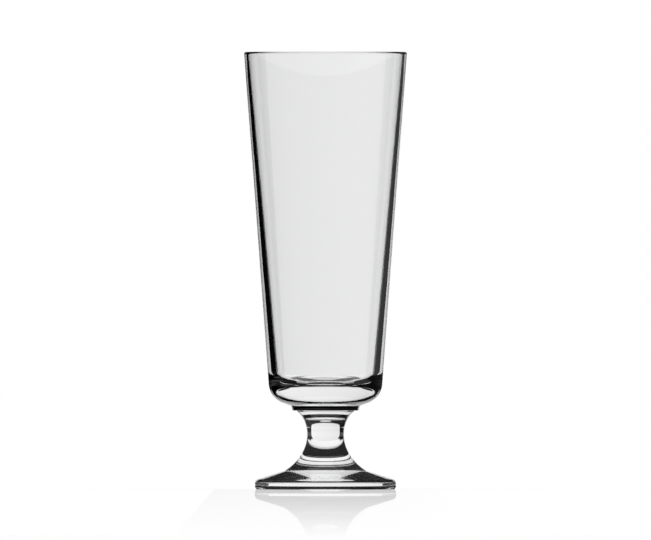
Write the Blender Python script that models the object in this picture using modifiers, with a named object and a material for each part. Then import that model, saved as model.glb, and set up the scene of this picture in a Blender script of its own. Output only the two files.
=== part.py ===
"""Footed beer glass: a tapered bowl on a collar, a waisted stem and a low conical foot.

The four pieces are separate gathers of glass that the maker joins hot. Each is turned about the
Z axis and stands on the one below it, with a thin seam between them. Units are metres, +Z is up,
and the origin is the centre of the ring that the foot rests on.
"""

import math

import bpy
from mathutils import Vector

# Seams and roundness
SEAM_GAP = 0.0003  # left between two pieces where the glass is fused
TURN_STEPS = 64  # flat facets round each piece
ARC_STEP = math.radians(15.0)  # most that one straight piece of a rounded corner turns
SHARP_ANGLE = math.radians(35.0)  # edges that bend more than this stay crisp
AXIS_MERGE = 0.00001  # points nearer the axis than this become one

# Foot
FOOT_RADIUS = 0.0320
FOOT_HEIGHT = 0.0081  # from the table to the seam under the stem
FOOT_EDGE_HEIGHT = 0.00437  # where the cone would meet the upright edge, were it not rounded
FOOT_EDGE_ROUND = 0.0026
FOOT_BASE_ROUND = 0.0013
KICK_RADIUS = 0.0240  # hollow under the foot
KICK_DEPTH = 0.0014
KICK_STEPS = 6

# Stem
STEM_LENGTH = 0.0269
STEM_BASE_RADIUS = 0.0188  # also the flat on top of the foot
STEM_WAIST_RADIUS = 0.0083
STEM_WAIST_HEIGHT = 0.0168  # waist above the stem's own base
STEM_TOP_RADIUS = 0.0133
STEM_LAND = 0.0007  # short upright band under the collar
STEM_BASE_SWEEP = math.radians(55.0)  # how far the lower flank turns towards the level
STEM_TOP_SWEEP = math.radians(56.0)
FLANK_STEPS = 9

# Collar
COLLAR_HEIGHT = 0.0018
COLLAR_LIP = 0.0017  # how far the collar stands out past the stem
COLLAR_FLARE = 0.0004  # how much wider it is on top
COLLAR_ROUND = 0.0004

# Bowl
BOWL_HEIGHT = 0.1603
BOWL_OVERHANG = 0.0014  # flat under the bowl, out past the collar
HEEL_RADIUS = 0.0253  # where the underside would meet the wall, were it not rounded
HEEL_RISE = 0.0036
HEEL_ROUND = 0.0103
RIM_RADIUS = 0.0369
RIM_WALL = 0.0017
RIM_ROUND = 0.00085
FLOOR_THICKNESS = 0.0090
FLOOR_WALL = 0.0039  # wall at the level of the inner floor
FLOOR_ROUND = 0.0065

GLASS_TINT = {
    "bowl": (0.95, 0.96, 0.96),
    "collar": (0.92, 0.94, 0.94),
    "stem": (0.93, 0.95, 0.95),
    "foot": (0.94, 0.95, 0.95),
}
GLASS_ROUGHNESS = 0.02
GLASS_IOR = 1.5
MOST_OF_EDGE = 0.98  # share of a straight stretch that its rounded ends may take


def rounded(corners):
    """Outline through (radius, height, rounding) corners, each rounding drawn as an arc."""
    points = [Vector((radius, height)) for radius, height, _ in corners]
    outline = [points[0]]
    for index in range(1, len(corners) - 1):
        corner = points[index]
        to_last = points[index - 1] - corner
        to_next = points[index + 1] - corner
        last_share = MOST_OF_EDGE / (2 if corners[index - 1][2] else 1)
        next_share = MOST_OF_EDGE / (2 if corners[index + 1][2] else 1)
        room = min(to_last.length * last_share, to_next.length * next_share)
        to_last.normalize()
        to_next.normalize()
        opening = to_last.angle(to_next)
        reach = min(corners[index][2] / math.tan(opening / 2), room)
        if reach <= 0:
            outline.append(corner)
            continue
        radius = reach * math.tan(opening / 2)
        middle = (to_last + to_next).normalized()
        centre = corner + middle * (radius / math.sin(opening / 2))
        first = corner + to_last * reach - centre
        last = corner + to_next * reach - centre
        turn = math.pi - opening
        steps = max(2, math.ceil(turn / ARC_STEP))
        for step in range(steps + 1):
            share = step / steps
            from_first = first * math.sin((1 - share) * turn)
            from_last = last * math.sin(share * turn)
            outline.append(centre + (from_first + from_last) / math.sin(turn))
    outline.append(points[-1])
    return outline


def flank(waist_radius, end_radius, rise, sweep):
    """Hollow flank from the waist, where it stands upright, to an end at this rise above it."""
    points = []
    for step in range(FLANK_STEPS + 1):
        lean = sweep * step / FLANK_STEPS
        out = (1 - math.cos(lean)) / (1 - math.cos(sweep))
        up = math.sin(lean) / math.sin(sweep)
        points.append(Vector((waist_radius + (end_radius - waist_radius) * out, rise * up)))
    return points


def clear_glass(name):
    material = bpy.data.materials.new(f"{name}_glass")
    material.use_nodes = True
    shader = material.node_tree.nodes["Principled BSDF"]
    shader.inputs["Base Color"].default_value = (*GLASS_TINT[name], 1.0)
    shader.inputs["Metallic"].default_value = 0.0
    shader.inputs["Roughness"].default_value = GLASS_ROUGHNESS
    shader.inputs["IOR"].default_value = GLASS_IOR
    shader.inputs["Transmission Weight"].default_value = 1.0
    return material


def turned(name, outline, seat):
    """Turns an outline, given from the axis round the outer side and back, and stands it on its seat."""
    profile = bpy.data.meshes.new(f"{name}_profile")
    edges = [(index, index + 1) for index in range(len(outline) - 1)]
    profile.from_pydata([(point.x, 0.0, point.y) for point in outline], edges, [])
    piece = bpy.data.objects.new(name, profile)
    glass.objects.link(piece)
    screw = piece.modifiers.new("turn", "SCREW")
    screw.axis = "Z"
    screw.angle = math.tau
    screw.steps = TURN_STEPS
    screw.render_steps = TURN_STEPS
    screw.use_merge_vertices = True
    screw.merge_threshold = AXIS_MERGE

    graph = bpy.context.evaluated_depsgraph_get()
    solid = bpy.data.meshes.new_from_object(piece.evaluated_get(graph))
    solid.name = name
    solid.shade_smooth()
    solid.set_sharp_from_angle(angle=SHARP_ANGLE)
    solid.materials.append(clear_glass(name))
    piece.modifiers.clear()
    piece.data = solid
    bpy.data.meshes.remove(profile)
    piece.location.z = seat
    piece.parent = axis
    return piece


def foot_outline():
    """Flat on top for the stem, a cone out to the round edge, and a ring round the hollow underside."""
    outline = rounded(
        [
            (0.0, FOOT_HEIGHT, 0.0),
            (STEM_BASE_RADIUS, FOOT_HEIGHT, 0.0),
            (FOOT_RADIUS, FOOT_EDGE_HEIGHT, FOOT_EDGE_ROUND),
            (FOOT_RADIUS, 0.0, FOOT_BASE_ROUND),
            (KICK_RADIUS, 0.0, 0.0),
        ]
    )
    dome_radius = (KICK_RADIUS**2 + KICK_DEPTH**2) / (2 * KICK_DEPTH)
    for step in range(1, KICK_STEPS + 1):
        radius = KICK_RADIUS * (1 - step / KICK_STEPS)
        rise = math.sqrt(dome_radius**2 - radius**2) - (dome_radius - KICK_DEPTH)
        outline.append(Vector((radius, rise)))
    return outline


def stem_outline():
    """Solid stem: the short band under the collar, the two flanks and the base on the foot."""
    waist = Vector((0.0, STEM_WAIST_HEIGHT))
    flank_rise = STEM_LENGTH - STEM_LAND - STEM_WAIST_HEIGHT
    upper = flank(STEM_WAIST_RADIUS, STEM_TOP_RADIUS, flank_rise, STEM_TOP_SWEEP)
    lower = flank(STEM_WAIST_RADIUS, STEM_BASE_RADIUS, -STEM_WAIST_HEIGHT, STEM_BASE_SWEEP)
    outline = [Vector((0.0, STEM_LENGTH)), Vector((STEM_TOP_RADIUS, STEM_LENGTH))]
    outline += [waist + point for point in reversed(upper)]
    outline += [waist + point for point in lower[1:]]
    outline.append(Vector((0.0, 0.0)))
    return outline


def collar_outline():
    """Thin button, a little wider on top, with softened edges."""
    return rounded(
        [
            (0.0, COLLAR_HEIGHT, 0.0),
            (collar_top_radius, COLLAR_HEIGHT, COLLAR_ROUND),
            (collar_base_radius, 0.0, COLLAR_ROUND),
            (0.0, 0.0, 0.0),
        ]
    )


def bowl_outline():
    """Inner floor, inner wall, rim, outer wall, round heel and the sloping underside."""
    wall_lean = (RIM_RADIUS - HEEL_RADIUS) / (BOWL_HEIGHT - HEEL_RISE)
    outer_at_floor = HEEL_RADIUS + wall_lean * (FLOOR_THICKNESS - HEEL_RISE)
    return rounded(
        [
            (0.0, FLOOR_THICKNESS, 0.0),
            (outer_at_floor - FLOOR_WALL, FLOOR_THICKNESS, FLOOR_ROUND),
            (RIM_RADIUS - RIM_WALL, BOWL_HEIGHT, RIM_ROUND),
            (RIM_RADIUS, BOWL_HEIGHT, RIM_ROUND),
            (HEEL_RADIUS, HEEL_RISE, HEEL_ROUND),
            (collar_top_radius + BOWL_OVERHANG, 0.0, 0.0),
            (0.0, 0.0, 0.0),
        ]
    )


for old in list(bpy.data.objects):
    bpy.data.objects.remove(old, do_unlink=True)

glass = bpy.data.collections.new("beer_glass")
bpy.context.scene.collection.children.link(glass)
axis = bpy.data.objects.new("glass_axis", None)
glass.objects.link(axis)

collar_base_radius = STEM_TOP_RADIUS + COLLAR_LIP
collar_top_radius = collar_base_radius + COLLAR_FLARE
stem_seat = FOOT_HEIGHT + SEAM_GAP
collar_seat = stem_seat + STEM_LENGTH + SEAM_GAP
bowl_seat = collar_seat + COLLAR_HEIGHT + SEAM_GAP

turned("foot", foot_outline(), 0.0)
turned("stem", stem_outline(), stem_seat)
turned("collar", collar_outline(), collar_seat)
turned("bowl", bowl_outline(), bowl_seat)
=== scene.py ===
import math

import bpy
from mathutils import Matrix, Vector


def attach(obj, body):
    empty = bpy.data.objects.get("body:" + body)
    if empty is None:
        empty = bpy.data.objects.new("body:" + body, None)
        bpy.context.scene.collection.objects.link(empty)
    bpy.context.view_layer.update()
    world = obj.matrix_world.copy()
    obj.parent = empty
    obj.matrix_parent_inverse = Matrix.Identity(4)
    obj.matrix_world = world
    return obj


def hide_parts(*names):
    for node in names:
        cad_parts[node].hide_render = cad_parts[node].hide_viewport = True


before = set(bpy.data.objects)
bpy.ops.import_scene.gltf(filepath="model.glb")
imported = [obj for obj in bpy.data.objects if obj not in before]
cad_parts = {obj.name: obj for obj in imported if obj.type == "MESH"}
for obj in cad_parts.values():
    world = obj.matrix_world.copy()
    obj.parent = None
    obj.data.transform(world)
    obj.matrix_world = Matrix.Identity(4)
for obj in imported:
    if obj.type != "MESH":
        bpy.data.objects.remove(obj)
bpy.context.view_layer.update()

# Foot: a low cone of clear glass, pressed from its own gather and fused hot under the stem. Its edge
# bulges a little and tucks in at the table, and it stands on a ring round a shallow hollow. The ring is
# ground dull where it has been set down again and again.
FOOT_TOP = 0.00840
FOOT_TOP_RADIUS = 0.01865
FOOT_CREASE = (0.01900, 0.00820, 0.00117)
FOOT_EDGE = (0.03200, 0.00413, 0.00260)
FOOT_TUCK = (0.03200, 0.00112, 0.00370)
FOOT_RING = (0.03132, 0.00000, 0.00035)
HOLLOW_RADIUS = 0.02170
HOLLOW_DEPTH = 0.00035
HOLLOW_STEPS = 18
ARC_STEP = math.radians(5.0)
ARC_LEAST = 3
MOST_OF_EDGE = 0.999
FACETS = 256
WELD = 0.000002
CRISP_EDGE = math.radians(35.0)
HOLD_FROM = 0.0030
HOLD_AT = 0.0003
GLASS_INDEX = 1.5
TINT_DEEP = (0.985, 0.990, 0.988, 1.0)
TINT_CLEAR = (1.0, 1.0, 1.0, 1.0)
LINE_DETAIL = 3.0
SCUFF_SCALE = 1400.0
SCUFF_DETAIL = 4.0
SCUFF_FROM = 0.45
SCUFF_TO = 0.70


def rounded(corners):
    """Outline through (radius, height, rounding) corners, each rounding drawn as a fine arc."""
    points = [Vector(corner[:2]) for corner in corners]
    outline = [points[0]]
    for index in range(1, len(corners) - 1):
        corner = points[index]
        before = points[index - 1] - corner
        after = points[index + 1] - corner
        room = min(
            before.length / (2 if corners[index - 1][2] else 1),
            after.length / (2 if corners[index + 1][2] else 1),
        )
        before.normalize()
        after.normalize()
        opening = before.angle(after)
        reach = min(corners[index][2] / math.tan(opening / 2), room * MOST_OF_EDGE)
        if reach <= 0:
            outline.append(corner)
            continue
        radius = reach * math.tan(opening / 2)
        centre = corner + (before + after).normalized() * (radius / math.sin(opening / 2))
        first = corner + before * reach - centre
        last = corner + after * reach - centre
        turn = math.pi - opening
        steps = max(ARC_LEAST, math.ceil(turn / ARC_STEP))
        for step in range(steps + 1):
            share = step / steps
            swung = first * math.sin((1 - share) * turn) + last * math.sin(share * turn)
            outline.append(centre + swung / math.sin(turn))
    outline.append(points[-1])
    return outline


def turning_lathe():
    """Geometry Nodes tree that turns an outline about Z and gives its fused faces their own finish."""
    tree = bpy.data.node_groups.new("turning_lathe", "GeometryNodeTree")
    socket = tree.interface.new_socket
    socket("Geometry", in_out="OUTPUT", socket_type="NodeSocketGeometry")
    socket("Outline", in_out="INPUT", socket_type="NodeSocketGeometry")
    socket("Facets", in_out="INPUT", socket_type="NodeSocketInt")
    socket("Weld", in_out="INPUT", socket_type="NodeSocketFloat")
    socket("Glass", in_out="INPUT", socket_type="NodeSocketMaterial")
    socket("Fused", in_out="INPUT", socket_type="NodeSocketMaterial")
    link = tree.links.new

    def add(kind, **settings):
        node = tree.nodes.new(kind)
        for name, value in settings.items():
            setattr(node, name, value)
        return node

    given = add("NodeGroupInput")
    made = add("NodeGroupOutput")
    size = add("GeometryNodeAttributeDomainSize", component="MESH")
    link(given.outputs["Outline"], size.inputs["Geometry"])
    rows = add("FunctionNodeIntegerMath", operation="ADD")
    link(given.outputs["Facets"], rows.inputs[0])
    rows.inputs[1].default_value = 1
    grid = add("GeometryNodeMeshGrid")
    link(size.outputs["Point Count"], grid.inputs["Vertices X"])
    link(rows.outputs[0], grid.inputs["Vertices Y"])

    index = add("GeometryNodeInputIndex")
    along = add("FunctionNodeIntegerMath", operation="DIVIDE_FLOOR")
    link(index.outputs[0], along.inputs[0])
    link(rows.outputs[0], along.inputs[1])
    around = add("FunctionNodeIntegerMath", operation="MODULO")
    link(index.outputs[0], around.inputs[0])
    link(rows.outputs[0], around.inputs[1])
    share = add("ShaderNodeMath", operation="DIVIDE")
    link(around.outputs[0], share.inputs[0])
    link(given.outputs["Facets"], share.inputs[1])
    angle = add("ShaderNodeMath", operation="MULTIPLY")
    link(share.outputs[0], angle.inputs[0])
    angle.inputs[1].default_value = math.tau

    place = add("GeometryNodeInputPosition")
    point = add("GeometryNodeSampleIndex", data_type="FLOAT_VECTOR", domain="POINT")
    link(given.outputs["Outline"], point.inputs["Geometry"])
    link(place.outputs[0], point.inputs["Value"])
    link(along.outputs[0], point.inputs["Index"])
    swing = add("ShaderNodeVectorRotate", rotation_type="Z_AXIS")
    link(point.outputs["Value"], swing.inputs["Vector"])
    link(angle.outputs[0], swing.inputs["Angle"])
    shape = add("GeometryNodeSetPosition")
    link(grid.outputs["Mesh"], shape.inputs["Geometry"])
    link(swing.outputs["Vector"], shape.inputs["Position"])

    band = add("FunctionNodeIntegerMath", operation="DIVIDE_FLOOR")
    link(index.outputs[0], band.inputs[0])
    link(given.outputs["Facets"], band.inputs[1])
    told = add("GeometryNodeInputNamedAttribute", data_type="BOOLEAN")
    told.inputs["Name"].default_value = "fused"
    fused = add("GeometryNodeSampleIndex", data_type="BOOLEAN", domain="POINT")
    link(given.outputs["Outline"], fused.inputs["Geometry"])
    link(told.outputs["Attribute"], fused.inputs["Value"])
    link(band.outputs[0], fused.inputs["Index"])
    marked = add("GeometryNodeStoreNamedAttribute", data_type="BOOLEAN", domain="FACE")
    marked.inputs["Name"].default_value = "fused_face"
    link(shape.outputs["Geometry"], marked.inputs["Geometry"])
    link(fused.outputs["Value"], marked.inputs["Value"])

    closed = add("GeometryNodeMergeByDistance")
    link(marked.outputs["Geometry"], closed.inputs["Geometry"])
    link(given.outputs["Weld"], closed.inputs["Distance"])
    smooth = add("GeometryNodeSetShadeSmooth")
    link(closed.outputs["Geometry"], smooth.inputs["Geometry"])
    real = add("GeometryNodeRealizeInstances")
    link(smooth.outputs["Geometry"], real.inputs["Geometry"])
    clear = add("GeometryNodeSetMaterial")
    link(real.outputs["Geometry"], clear.inputs["Geometry"])
    link(given.outputs["Glass"], clear.inputs["Material"])
    inside = add("GeometryNodeInputNamedAttribute", data_type="BOOLEAN")
    inside.inputs["Name"].default_value = "fused_face"
    joined = add("GeometryNodeSetMaterial")
    link(clear.outputs["Geometry"], joined.inputs["Geometry"])
    link(inside.outputs["Attribute"], joined.inputs["Selection"])
    link(given.outputs["Fused"], joined.inputs["Material"])
    link(joined.outputs["Geometry"], made.inputs["Geometry"])
    return tree


def held(outline):
    """Adds a point near each end of a long straight stretch, to keep the shading of its corners short."""
    points = [outline[0]]
    for last, point in zip(outline, outline[1:]):
        stretch = point - last
        if stretch.length > HOLD_FROM:
            points.append(last + stretch.normalized() * HOLD_AT)
            points.append(point - stretch.normalized() * HOLD_AT)
        points.append(point)
    return points


def turned(name, outline, fused_bands, glass):
    """Turns an outline, given from the axis round to the axis, into one closed piece of glass."""
    profile = bpy.data.meshes.new(f"{name}_outline")
    edges = [(step, step + 1) for step in range(len(outline) - 1)]
    profile.from_pydata([(point.x, 0.0, point.y) for point in outline], edges, [])
    fused = profile.attributes.new("fused", "BOOLEAN", "POINT")
    for band in fused_bands:
        fused.data[band].value = True
    piece = bpy.data.objects.new(f"{name}_glass", profile)
    bpy.context.scene.collection.objects.link(piece)
    modifier = piece.modifiers.new("lathe", "NODES")
    modifier.node_group = lathe
    sizes = {"Facets": FACETS, "Weld": WELD, "Glass": glass, "Fused": fused_joint}
    for item in lathe.interface.items_tree:
        if item.in_out == "INPUT" and item.name in sizes:
            modifier[item.identifier] = sizes[item.name]
    graph = bpy.context.evaluated_depsgraph_get()
    solid = bpy.data.meshes.new_from_object(piece.evaluated_get(graph))
    solid.name = f"{name}_glass"
    solid.set_sharp_from_angle(angle=CRISP_EDGE)
    piece.modifiers.clear()
    piece.data = solid
    bpy.data.meshes.remove(profile)
    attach(piece, "root")
    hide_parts(name)
    return piece


def draw_lines():
    """Shader group: the faint upright lines that glass keeps from being drawn and spun as it is shaped."""
    group = bpy.data.node_groups.new("draw_lines", "ShaderNodeTree")
    socket = group.interface.new_socket
    socket("Lines", in_out="INPUT", socket_type="NodeSocketFloat")
    socket("Height", in_out="OUTPUT", socket_type="NodeSocketFloat")
    given = group.nodes.new("NodeGroupInput")
    made = group.nodes.new("NodeGroupOutput")
    place = group.nodes.new("ShaderNodeTexCoord")
    flat = group.nodes.new("ShaderNodeVectorMath")
    flat.operation = "MULTIPLY"
    flat.inputs[1].default_value = (1.0, 1.0, 0.0)
    heading = group.nodes.new("ShaderNodeVectorMath")
    heading.operation = "NORMALIZE"
    noise = group.nodes.new("ShaderNodeTexNoise")
    noise.inputs["Detail"].default_value = LINE_DETAIL
    group.links.new(place.outputs["Object"], flat.inputs[0])
    group.links.new(flat.outputs[0], heading.inputs[0])
    group.links.new(heading.outputs[0], noise.inputs["Vector"])
    group.links.new(given.outputs["Lines"], noise.inputs["Scale"])
    group.links.new(noise.outputs["Fac"], made.inputs["Height"])
    return group


def handling_wear():
    """Shader group: fine scuffs close to one level, where the glass meets tables and lips."""
    group = bpy.data.node_groups.new("handling_wear", "ShaderNodeTree")
    socket = group.interface.new_socket
    socket("Level", in_out="INPUT", socket_type="NodeSocketFloat")
    socket("Reach", in_out="INPUT", socket_type="NodeSocketFloat")
    socket("Most", in_out="INPUT", socket_type="NodeSocketFloat")
    socket("Roughness", in_out="OUTPUT", socket_type="NodeSocketFloat")
    given = group.nodes.new("NodeGroupInput")
    made = group.nodes.new("NodeGroupOutput")
    place = group.nodes.new("ShaderNodeTexCoord")
    split = group.nodes.new("ShaderNodeSeparateXYZ")
    gap = group.nodes.new("ShaderNodeMath")
    gap.operation = "SUBTRACT"
    off = group.nodes.new("ShaderNodeMath")
    off.operation = "ABSOLUTE"
    near = group.nodes.new("ShaderNodeMapRange")
    near.interpolation_type = "SMOOTHSTEP"
    near.inputs["To Min"].default_value = 1.0
    near.inputs["To Max"].default_value = 0.0
    noise = group.nodes.new("ShaderNodeTexNoise")
    noise.inputs["Scale"].default_value = SCUFF_SCALE
    noise.inputs["Detail"].default_value = SCUFF_DETAIL
    scuffs = group.nodes.new("ShaderNodeMapRange")
    scuffs.inputs["From Min"].default_value = SCUFF_FROM
    scuffs.inputs["From Max"].default_value = SCUFF_TO
    mask = group.nodes.new("ShaderNodeMath")
    mask.operation = "MULTIPLY"
    amount = group.nodes.new("ShaderNodeMath")
    amount.operation = "MULTIPLY"
    link = group.links.new
    link(place.outputs["Object"], split.inputs[0])
    link(split.outputs["Z"], gap.inputs[0])
    link(given.outputs["Level"], gap.inputs[1])
    link(gap.outputs[0], off.inputs[0])
    link(off.outputs[0], near.inputs["Value"])
    link(given.outputs["Reach"], near.inputs["From Max"])
    link(place.outputs["Object"], noise.inputs["Vector"])
    link(noise.outputs["Fac"], scuffs.inputs["Value"])
    link(scuffs.outputs[0], mask.inputs[0])
    link(near.outputs[0], mask.inputs[1])
    link(mask.outputs[0], amount.inputs[0])
    link(given.outputs["Most"], amount.inputs[1])
    link(amount.outputs[0], made.inputs["Roughness"])
    return group


def clear_glass(name, lines, line_depth, wear_level, wear_reach, wear_most):
    """Colourless fire-polished glass with its own draw lines and its own worn place."""
    material = bpy.data.materials.new(f"{name}_clear_glass")
    material.use_nodes = True
    nodes = material.node_tree.nodes
    link = material.node_tree.links.new
    shader = nodes["Principled BSDF"]
    shader.inputs["Metallic"].default_value = 0.0
    shader.inputs["Transmission Weight"].default_value = 1.0
    shader.inputs["IOR"].default_value = GLASS_INDEX
    drawn = nodes.new("ShaderNodeGroup")
    drawn.node_tree = draw_line_group
    drawn.inputs["Lines"].default_value = lines
    relief = nodes.new("ShaderNodeBump")
    relief.inputs["Strength"].default_value = 1.0
    relief.inputs["Distance"].default_value = line_depth
    link(drawn.outputs["Height"], relief.inputs["Height"])
    link(relief.outputs["Normal"], shader.inputs["Normal"])
    tint = nodes.new("ShaderNodeMix")
    tint.data_type = "RGBA"
    tint.inputs["A"].default_value = TINT_DEEP
    tint.inputs["B"].default_value = TINT_CLEAR
    link(drawn.outputs["Height"], tint.inputs["Factor"])
    link(tint.outputs["Result"], shader.inputs["Base Color"])
    worn = nodes.new("ShaderNodeGroup")
    worn.node_tree = handling_wear_group
    worn.inputs["Level"].default_value = wear_level
    worn.inputs["Reach"].default_value = wear_reach
    worn.inputs["Most"].default_value = wear_most
    link(worn.outputs["Roughness"], shader.inputs["Roughness"])
    return material


lathe = turning_lathe()
draw_line_group = draw_lines()
handling_wear_group = handling_wear()

# Where two gathers have fused there is no surface left, so light goes straight on.
fused_joint = bpy.data.materials.new("fused_joint")
fused_joint.use_nodes = True
fused_joint.node_tree.nodes["Principled BSDF"].inputs["Alpha"].default_value = 0.0

foot_outline = [Vector((0.0, FOOT_TOP))]
foot_outline += held(
    rounded(
        [
            (FOOT_TOP_RADIUS, FOOT_TOP, 0.0),
            FOOT_CREASE,
            FOOT_EDGE,
            FOOT_TUCK,
            FOOT_RING,
            (HOLLOW_RADIUS, 0.0, 0.0),
        ]
    )
)
hollow_bend = (HOLLOW_RADIUS**2 + HOLLOW_DEPTH**2) / (2 * HOLLOW_DEPTH)
for step in range(1, HOLLOW_STEPS + 1):
    reach = HOLLOW_RADIUS * (1 - step / HOLLOW_STEPS)
    rise = math.sqrt(hollow_bend**2 - reach**2) - (hollow_bend - HOLLOW_DEPTH)
    foot_outline.append(Vector((reach, rise)))
foot_glass = clear_glass(
    "foot",
    lines=14.0,
    line_depth=0.0000015,
    wear_level=0.0,
    wear_reach=0.0006,
    wear_most=0.35,
)
turned("foot", foot_outline, [0], foot_glass)

# Stem: a short solid waist of glass, drawn down from the bowl's own gather while it is soft. It flares
# to the collar above and to the foot below, and both ends are fused to their neighbours.
STEM_TOP = 0.03563
STEM_TOP_RADIUS = 0.01292
STEM_LAND = 0.00037
WAIST_HEIGHT = 0.02495
WAIST_RADIUS = 0.00835
UPPER_SWEEP = math.radians(62.0)
LOWER_SWEEP = math.radians(55.5)
FLANK_STEPS = 40


def flank(end_radius, end_height, sweep):
    """Hollow flank from the waist, where it stands upright, to an end above or below it."""
    points = []
    for step in range(FLANK_STEPS + 1):
        lean = sweep * step / FLANK_STEPS
        out = (1 - math.cos(lean)) / (1 - math.cos(sweep))
        up = math.sin(lean) / math.sin(sweep)
        radius = WAIST_RADIUS + (end_radius - WAIST_RADIUS) * out
        points.append(Vector((radius, WAIST_HEIGHT + (end_height - WAIST_HEIGHT) * up)))
    return points


stem_outline = [Vector((0.0, STEM_TOP)), Vector((STEM_TOP_RADIUS, STEM_TOP))]
stem_outline += reversed(flank(STEM_TOP_RADIUS, STEM_TOP - STEM_LAND, UPPER_SWEEP))
stem_outline += flank(FOOT_TOP_RADIUS, FOOT_TOP, LOWER_SWEEP)[1:]
stem_outline.append(Vector((0.0, FOOT_TOP)))
stem_glass = clear_glass(
    "stem",
    lines=9.0,
    line_depth=0.0000005,
    wear_level=0.0,
    wear_reach=0.0001,
    wear_most=0.0,
)
turned("stem", stem_outline, [0, len(stem_outline) - 2], stem_glass)

# Collar: a thin button of glass, the merese, laid on under the bowl to take the stem. It is a little
# wider on top, and its edges are softened by the fire.
COLLAR_TOP = 0.03774
COLLAR_TOP_RADIUS = 0.01546
COLLAR_BASE_RADIUS = 0.01495
COLLAR_ROUND = 0.00020

collar_outline = [Vector((0.0, COLLAR_TOP))]
collar_outline += rounded(
    [
        (COLLAR_TOP_RADIUS, COLLAR_TOP, 0.0),
        (COLLAR_BASE_RADIUS, STEM_TOP, COLLAR_ROUND),
        (STEM_TOP_RADIUS, STEM_TOP, 0.0),
    ]
)
collar_outline.append(Vector((0.0, STEM_TOP)))
collar_glass = clear_glass(
    "collar",
    lines=12.0,
    line_depth=0.0000005,
    wear_level=0.0,
    wear_reach=0.0001,
    wear_most=0.0,
)
turned("collar", collar_outline, [0, len(collar_outline) - 2], collar_glass)

# Bowl: the tall tapered cup, blown and spun in a mould, thick at its floor and heel and thin at the
# fire-polished rim. The upright lines left by the drawing show faintly all round the wall.
RIM_HEIGHT = 0.19800
RIM_RADIUS = 0.03690
RIM_WALL = 0.00170
WALL_AT = 0.04100
WALL_RADIUS = 0.02527
UNDERSIDE_RISE = math.tan(math.radians(20.4))
HEEL_ROUND = 0.01000
FLOOR_HEIGHT = 0.04700
FLOOR_WALL = 0.00390
FLOOR_WALL_AT = 0.04670
FLOOR_ROUND_OUT = 0.00500
FLOOR_ROUND_UP = 0.00650
FLOOR_STEPS = 20
FLOOR_DOME = 0.00200
FLOOR_DOME_RADIUS = 0.01700

wall_lean = (RIM_RADIUS - WALL_RADIUS) / (RIM_HEIGHT - WALL_AT)
inner_base = WALL_RADIUS + wall_lean * (FLOOR_WALL_AT - WALL_AT) - FLOOR_WALL
inner_lean = (RIM_RADIUS - RIM_WALL - inner_base) / (RIM_HEIGHT - FLOOR_WALL_AT)
heel_radius = WALL_RADIUS + wall_lean * (COLLAR_TOP - COLLAR_TOP_RADIUS * UNDERSIDE_RISE - WALL_AT)
heel_radius /= 1 - wall_lean * UNDERSIDE_RISE
heel_height = COLLAR_TOP + (heel_radius - COLLAR_TOP_RADIUS) * UNDERSIDE_RISE

floor_edge = inner_base + inner_lean * (FLOOR_HEIGHT - FLOOR_WALL_AT) - FLOOR_ROUND_OUT
bowl_outline = []
for step in range(FLOOR_STEPS):
    bowl_outline.append(Vector((floor_edge * step / FLOOR_STEPS, FLOOR_HEIGHT)))
for step in range(FLOOR_STEPS + 1):
    turn = math.pi / 2 * step / FLOOR_STEPS
    height = FLOOR_HEIGHT + FLOOR_ROUND_UP * (1 - math.cos(turn))
    wall = inner_base + inner_lean * (height - FLOOR_WALL_AT)
    bowl_outline.append(Vector((wall - FLOOR_ROUND_OUT * (1 - math.sin(turn)), height)))
for point in bowl_outline:
    if point.x < FLOOR_DOME_RADIUS:
        point.y += FLOOR_DOME * (1 - (point.x / FLOOR_DOME_RADIUS) ** 2)
inner_corner = bowl_outline.pop()
bowl_outline += rounded(
    [
        (inner_corner.x, inner_corner.y, 0.0),
        (RIM_RADIUS - RIM_WALL, RIM_HEIGHT, RIM_WALL / 2),
        (RIM_RADIUS, RIM_HEIGHT, RIM_WALL / 2),
        (heel_radius, heel_height, HEEL_ROUND),
        (COLLAR_TOP_RADIUS, COLLAR_TOP, 0.0),
    ]
)
bowl_outline = held(bowl_outline)
bowl_outline.append(Vector((0.0, COLLAR_TOP)))
bowl_glass = clear_glass(
    "bowl",
    lines=22.0,
    line_depth=0.0000015,
    wear_level=RIM_HEIGHT,
    wear_reach=0.0012,
    wear_most=0.10,
)
turned("bowl", bowl_outline, [len(bowl_outline) - 2], bowl_glass)

# Table: a plain white polished board. It takes a soft shadow and, seen almost level, a faint mirror
# image of the glass that fades towards the front. The glass sees it glow with painted light, with a
# painted shade round the foot.
WHITE = (1.0, 1.0, 1.0, 1.0)
TABLE_REACH = 6.0
TABLE_DROP = 0.00002
GLOSS_MOST = 0.40
GLOSS_FADE_FROM = -0.03
GLOSS_FADE_TO = -3.2
GLOSS_BLUR = 0.010
GRAZING_FROM = math.radians(6.0)
GRAZING_TO = math.radians(2.0)
LEVEL_WHITE = 0.85
# Painted spot of light and painted shade under the foot, as the glass sees the table.
SPOT_PAINTED_LIGHT = 0.70
SHADE_GREY = 0.02
UNDER_FROM = math.radians(58.0)
UNDER_TO = math.radians(66.0)
BENT_FROM = math.radians(14.0)
BENT_TO = math.radians(19.0)
SHADE_TO = 0.0325
LIGHT_FROM = 0.0345
SECTOR_LEAN = 0.73
SECTOR_SOFT = 0.004
CARD_AWAY = 0.0950
FRONT_LEAN = 0.15
# Painted dusk on the table: never quite dark, and a little lighter to the right.
DUSK_REACH = 0.050
DUSK_LEFT = 0.002
DUSK_RIGHT = 0.040
SOLID_PASSES = 2.0
WALL_PASSES = 4.0
HALF_STEP = 0.5


def sheet(name, corners):
    """Flat board of the set, which is not part of the glass."""
    mesh = bpy.data.meshes.new(name)
    mesh.from_pydata(corners, [], [tuple(range(len(corners)))])
    board = bpy.data.objects.new(name, mesh)
    bpy.context.scene.collection.objects.link(board)
    return board


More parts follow.
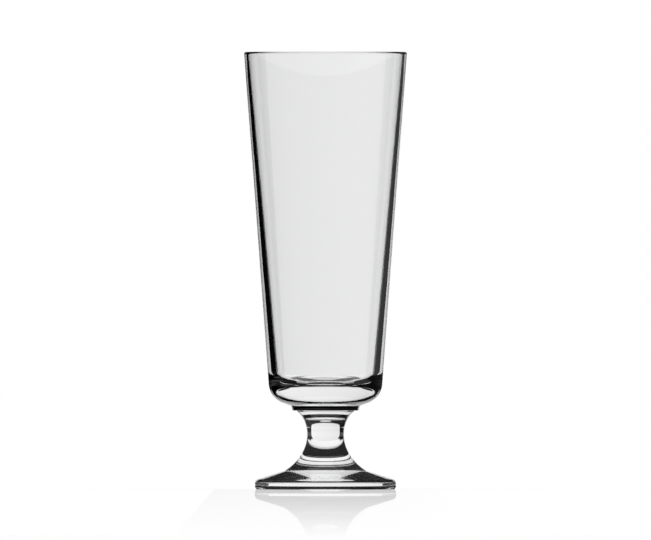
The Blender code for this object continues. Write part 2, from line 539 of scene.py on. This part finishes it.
def node_adder(tree):
    """Function that adds a node to this tree, with its settings and with values or links on its inputs."""
    tree.nodes.clear()

    def add(kind, *given, **settings):
        node = tree.nodes.new(kind)
        for name, value in settings.items():
            setattr(node, name, value)
        for place, value in given:
            if hasattr(value, "is_output"):
                tree.links.new(value, node.inputs[place])
            else:
                node.inputs[place].default_value = value
        return node

    return add


def maths(add, operation, *values, **settings):
    """Adds a Math node on these values and gives its result."""
    return add("ShaderNodeMath", *enumerate(values), operation=operation, **settings).outputs[0]


def ramp(add, value, low, high, at_low=0.0, at_high=1.0):
    """Adds a Map Range node, held at both ends, and gives its result."""
    node = add(
        "ShaderNodeMapRange",
        ("Value", value),
        ("From Min", low),
        ("From Max", high),
        ("To Min", at_low),
        ("To Max", at_high),
    )
    return node.outputs[0]


def blank_material(name):
    material = bpy.data.materials.new(name)
    material.use_nodes = True
    return material


def ray_kinds():
    """Shader group: masks that sort the light leaving the glass.

    Bent was never mirrored and Once at most once. Walls went straight through the bowl, and Turned was
    mirrored once inside solid glass. Front is Bent or Turned light that leaves towards the front.
    """
    group = bpy.data.node_groups.new("ray_kinds", "ShaderNodeTree")
    socket = group.interface.new_socket
    socket("Place", in_out="INPUT", socket_type="NodeSocketVector")
    socket("Mirrored", in_out="INPUT", socket_type="NodeSocketFloat")
    socket("Passed", in_out="INPUT", socket_type="NodeSocketFloat")
    for mask in ("Bent", "Once", "Walls", "Front", "Turned"):
        socket(mask, in_out="OUTPUT", socket_type="NodeSocketFloat")
    add = node_adder(group)
    given = add("NodeGroupInput")
    mirrored = given.outputs["Mirrored"]
    passed = given.outputs["Passed"]
    split = add("ShaderNodeSeparateXYZ", (0, given.outputs["Place"]))
    bent = maths(add, "LESS_THAN", mirrored, HALF_STEP)
    once = maths(add, "LESS_THAN", mirrored, 1 + HALF_STEP)
    solid = maths(add, "COMPARE", passed, SOLID_PASSES, HALF_STEP)
    walls = maths(add, "GREATER_THAN", passed, WALL_PASSES - HALF_STEP)
    walls = maths(add, "MULTIPLY", walls, bent)
    turned_once = maths(add, "SUBTRACT", once, bent)
    turned_once = maths(add, "MULTIPLY", turned_once, solid)
    clean = maths(add, "MAXIMUM", turned_once, bent)
    side = maths(add, "ABSOLUTE", split.outputs["X"])
    ahead = maths(add, "MULTIPLY", side, FRONT_LEAN)
    ahead = maths(add, "GREATER_THAN", ahead, split.outputs["Y"])
    ahead = maths(add, "MULTIPLY", ahead, clean)
    add(
        "NodeGroupOutput",
        ("Bent", bent),
        ("Once", once),
        ("Walls", walls),
        ("Front", ahead),
        ("Turned", turned_once),
    )
    return group


def sorted_rays(add, place, rays):
    """Adds the group of masks to a material, on that material's own place and light path."""
    node = add(
        "ShaderNodeGroup",
        ("Place", place.outputs["Object"]),
        ("Mirrored", rays.outputs["Glossy Depth"]),
        ("Passed", rays.outputs["Transmission Depth"]),
        node_tree=kinds_of_ray,
    )
    return node.outputs


kinds_of_ray = ray_kinds()
table = sheet(
    "table",
    [
        (-TABLE_REACH, -TABLE_REACH, -TABLE_DROP),
        (TABLE_REACH, -TABLE_REACH, -TABLE_DROP),
        (TABLE_REACH, TABLE_REACH, -TABLE_DROP),
        (-TABLE_REACH, TABLE_REACH, -TABLE_DROP),
    ],
)
table_white_painted_light = blank_material("table_white_painted_light")
add = node_adder(table_white_painted_light.node_tree)
place = add("ShaderNodeTexCoord")
split = add("ShaderNodeSeparateXYZ", (0, place.outputs["Object"]))
level = add("ShaderNodeLayerWeight", ("Blend", 0.5))
rays = add("ShaderNodeLightPath")
kind = sorted_rays(add, place, rays)
# Seen by the camera: a white board, with a mirror image only at a near level view.
board = add("ShaderNodeBsdfDiffuse", ("Color", WHITE))
gloss = add("ShaderNodeBsdfGlossy", ("Color", WHITE), ("Roughness", GLOSS_BLUR))
fade = ramp(add, split.outputs["Y"], GLOSS_FADE_TO, GLOSS_FADE_FROM, 0.0, GLOSS_MOST)
front = maths(add, "LESS_THAN", split.outputs["Y"], 0.0)
fade = maths(add, "MULTIPLY", fade, front)
grazing = ramp(add, level.outputs["Facing"], 1 - math.sin(GRAZING_FROM), 1 - math.sin(GRAZING_TO))
shine = maths(add, "MULTIPLY", fade, grazing)
paper = add("ShaderNodeEmission", ("Color", WHITE), ("Strength", 1.0))
blank = maths(add, "MULTIPLY", grazing, LEVEL_WHITE)
board = add("ShaderNodeMixShader", (0, blank), (1, board.outputs[0]), (2, paper.outputs[0]))
seen = add("ShaderNodeMixShader", (0, shine), (1, board.outputs[0]), (2, gloss.outputs[0]))
# Seen through the glass it glows with painted light: lit in a sector between the glass and the card,
# with painted shade close round the foot. Light that was never mirrored also finds it lit in front and
# where that light falls steeply.
radius = add("ShaderNodeVectorMath", (0, place.outputs["Object"]), operation="LENGTH").outputs["Value"]
upright = maths(add, "SUBTRACT", 1.0, level.outputs["Facing"])
dip = maths(add, "ARCSINE", upright)
side = maths(add, "ABSOLUTE", split.outputs["X"])
reach = maths(add, "MULTIPLY", split.outputs["Y"], SECTOR_LEAN)
inside = maths(add, "SUBTRACT", reach, side)
behind = ramp(add, inside, 0.0, SECTOR_SOFT)
to_card = maths(add, "LESS_THAN", split.outputs["Y"], CARD_AWAY)
behind = maths(add, "MULTIPLY", behind, to_card)
falling = ramp(add, dip, BENT_FROM, BENT_TO)
falling = maths(add, "MULTIPLY", falling, kind["Bent"])
lit = maths(add, "MAXIMUM", behind, falling)
lit = maths(add, "MAXIMUM", lit, kind["Front"])
lit = maths(add, "MULTIPLY", lit, kind["Once"])
beyond = ramp(add, radius, SHADE_TO, LIGHT_FROM)
around = maths(add, "MULTIPLY", lit, beyond)
# Under the foot the painted shade turns into a painted spot of light where light falls steeply or plunges.
plunging = ramp(add, dip, UNDER_FROM, UNDER_TO)
shade = maths(add, "MAXIMUM", falling, plunging)
shade = ramp(add, shade, 0.0, 1.0, SHADE_GREY, SPOT_PAINTED_LIGHT)
under = maths(add, "SUBTRACT", 1.0, beyond)
spot = maths(add, "MULTIPLY", shade, under)
bright = maths(add, "MAXIMUM", around, spot)
# Painted shade: light that solid glass mirrored once finds it dark, unless it leaves towards the front.
turned_back = maths(add, "SUBTRACT", kind["Turned"], kind["Front"], use_clamp=True)
straight = maths(add, "SUBTRACT", 1.0, turned_back)
bright = maths(add, "MULTIPLY", bright, straight)
# Painted dusk: the table is never quite dark, and is a little lighter to the right than to the left.
dusk = ramp(add, split.outputs["X"], -DUSK_REACH, DUSK_REACH, DUSK_LEFT, DUSK_RIGHT)
bright = maths(add, "MAXIMUM", bright, dusk)
glow = add("ShaderNodeEmission", ("Color", WHITE), ("Strength", bright))
through = maths(add, "MAXIMUM", rays.outputs["Is Transmission Ray"], rays.outputs["Is Glossy Ray"])
both = add("ShaderNodeMixShader", (0, through), (1, seen.outputs[0]), (2, glow.outputs[0]))
add("ShaderNodeOutputMaterial", ("Surface", both.outputs[0]))
table.data.materials.append(table_white_painted_light)

# Studio: a white card close behind the glass, and a dark room round it that draws the edges of the glass.
# Both glow with painted light. Only the glass and the table's polish see them. The camera sees the white
# world.
CARD_HALF = 0.0675
CARD_FOOT_HALF = 0.0500
CARD_CORNER = 0.0200
CARD_TOP = 0.2450
LOW_CARD_TOP = 0.0300
# Painted light across the card, brighter to the right than to the left.
CARD_LEFT = 0.82
CARD_RIGHT = 0.98
ROOM_RADIUS = 3.0
ROOM_HEIGHT = 2.0
ROOM_BELOW = -0.1
ROOM_SIDES = 64
ROOM_FADE = 0.2
# Painted light of the room: dim, a little lighter to the right, and pale to some light.
ROOM_LEFT = 0.002
ROOM_RIGHT = 0.040
ROOM_PAINTED_PALE = 0.92
HORIZON_AWAY = 2.8
HORIZON_HALF = 0.6
HORIZON_TOP = 0.12


def card_corners(top):
    """Upright card up to this height, with its lower corners cut off."""
    right = [(CARD_FOOT_HALF, 0.0), (CARD_HALF, CARD_CORNER), (CARD_HALF, top)]
    left = [(-half, height) for half, height in reversed(right)]
    return [(half, CARD_AWAY, height) for half, height in right + left]


def unseen(board):
    """Hides a board from the camera and from soft light, and leaves it to the glass and the polish."""
    board.visible_camera = False
    board.visible_diffuse = False
    board.visible_shadow = False


card = sheet("back_card", card_corners(CARD_TOP))
low_card = sheet("low_card", card_corners(LOW_CARD_TOP))
card_white_painted_light = blank_material("card_white_painted_light")
add = node_adder(card_white_painted_light.node_tree)
place = add("ShaderNodeTexCoord")
split = add("ShaderNodeSeparateXYZ", (0, place.outputs["Object"]))
# Painted light: the card glows brighter to the right than to the left, and only to light mirrored at most
# once.
across = ramp(add, split.outputs["X"], -CARD_HALF, CARD_HALF, CARD_LEFT, CARD_RIGHT)
rays = add("ShaderNodeLightPath")
kind = sorted_rays(add, place, rays)
white = maths(add, "MULTIPLY", across, kind["Once"])
glow = add("ShaderNodeEmission", ("Strength", white))
add("ShaderNodeOutputMaterial", ("Surface", glow.outputs[0]))
# The glass's outer skin mirrors only the foot of the card, so its flanks stay dark.
card.data.materials.append(card_white_painted_light)
unseen(card)
card.visible_glossy = False
low_card.data.materials.append(card_white_painted_light)
unseen(low_card)
low_card.visible_transmission = False

room_points = []
room_walls = []
for index in range(ROOM_SIDES):
    heading = math.tau * index / ROOM_SIDES
    wall_x = ROOM_RADIUS * math.sin(heading)
    wall_y = ROOM_RADIUS * math.cos(heading)
    room_points += [(wall_x, wall_y, ROOM_BELOW), (wall_x, wall_y, ROOM_HEIGHT)]
    first = 2 * index
    following = 2 * ((index + 1) % ROOM_SIDES)
    room_walls.append((first, first + 1, following + 1, following))
room_walls.append(tuple(range(1, 2 * ROOM_SIDES, 2)))
room_mesh = bpy.data.meshes.new("dark_room")
room_mesh.from_pydata(room_points, [], room_walls)
room = bpy.data.objects.new("dark_room", room_mesh)
bpy.context.scene.collection.objects.link(room)
room_dark_painted_light = blank_material("room_dark_painted_light")
add = node_adder(room_dark_painted_light.node_tree)
place = add("ShaderNodeTexCoord")
split = add("ShaderNodeSeparateXYZ", (0, place.outputs["Object"]))
# Painted light: the room glows very dimly, a little lighter to the right than to the left.
across = ramp(add, split.outputs["X"], -ROOM_FADE, ROOM_FADE, ROOM_LEFT, ROOM_RIGHT)
rays = add("ShaderNodeLightPath")
kind = sorted_rays(add, place, rays)
# Painted light: the room glows pale to light that crossed the bowl, that solid glass mirrored once or that
# leaves in front.
painted_pale = maths(add, "MAXIMUM", kind["Walls"], kind["Front"])
painted_pale = maths(add, "MAXIMUM", painted_pale, kind["Turned"])
strength = add("ShaderNodeMix", ("Factor", painted_pale), ("A", across), ("B", ROOM_PAINTED_PALE))
glow = add("ShaderNodeEmission", ("Strength", strength.outputs["Result"]))
add("ShaderNodeOutputMaterial", ("Surface", glow.outputs[0]))
room.data.materials.append(room_dark_painted_light)
unseen(room)

# A white strip far behind is what the polished table mirrors round the glass.
horizon = sheet(
    "far_horizon",
    [
        (-HORIZON_HALF, HORIZON_AWAY, ROOM_BELOW),
        (HORIZON_HALF, HORIZON_AWAY, ROOM_BELOW),
        (HORIZON_HALF, HORIZON_AWAY, HORIZON_TOP),
        (-HORIZON_HALF, HORIZON_AWAY, HORIZON_TOP),
    ],
)
horizon_white = blank_material("horizon_white")
add = node_adder(horizon_white.node_tree)
glow = add("ShaderNodeEmission", ("Strength", 1.0))
add("ShaderNodeOutputMaterial", ("Surface", glow.outputs[0]))
horizon.data.materials.append(horizon_white)
unseen(horizon)
horizon.visible_transmission = False

world = bpy.data.worlds.new("white_studio")
bpy.context.scene.world = world
world.use_nodes = True
backdrop = world.node_tree.nodes["Background"]
backdrop.inputs["Color"].default_value = WHITE
backdrop.inputs["Strength"].default_value = 1.0

# Camera: level with the glass and far away, so the rim and the foot look straight, as in the photograph.
# The glass is as many pixels tall as it is there, and stands on the same row.
FRAME_WIDTH = 651
FRAME_HEIGHT = 540
GLASS_PIXELS = 437.2
GLASS_FOOT_ROW = 489.2
CAMERA_AWAY = 4.0
CAMERA_RISE = math.radians(0.4)
CLIP_NEAR = 0.01
CLIP_FAR = 40.0
pixel = RIM_HEIGHT / GLASS_PIXELS
camera_data = bpy.data.cameras.new("camera")
camera_data.type = "ORTHO"
camera_data.ortho_scale = FRAME_WIDTH * pixel
camera_data.clip_start = CLIP_NEAR
camera_data.clip_end = CLIP_FAR
camera = bpy.data.objects.new("camera", camera_data)
bpy.context.scene.collection.objects.link(camera)
aim = (GLASS_FOOT_ROW - FRAME_HEIGHT / 2) * pixel
camera.location = (
    0.0,
    -CAMERA_AWAY * math.cos(CAMERA_RISE),
    aim + CAMERA_AWAY * math.sin(CAMERA_RISE),
)
camera.rotation_euler = (math.pi / 2 - CAMERA_RISE, 0.0, 0.0)
scene = bpy.context.scene
scene.camera = camera
scene.view_settings.view_transform = "Standard"
scene.cycles.max_bounces = 32
scene.cycles.glossy_bounces = 16
scene.cycles.transmission_bounces = 24
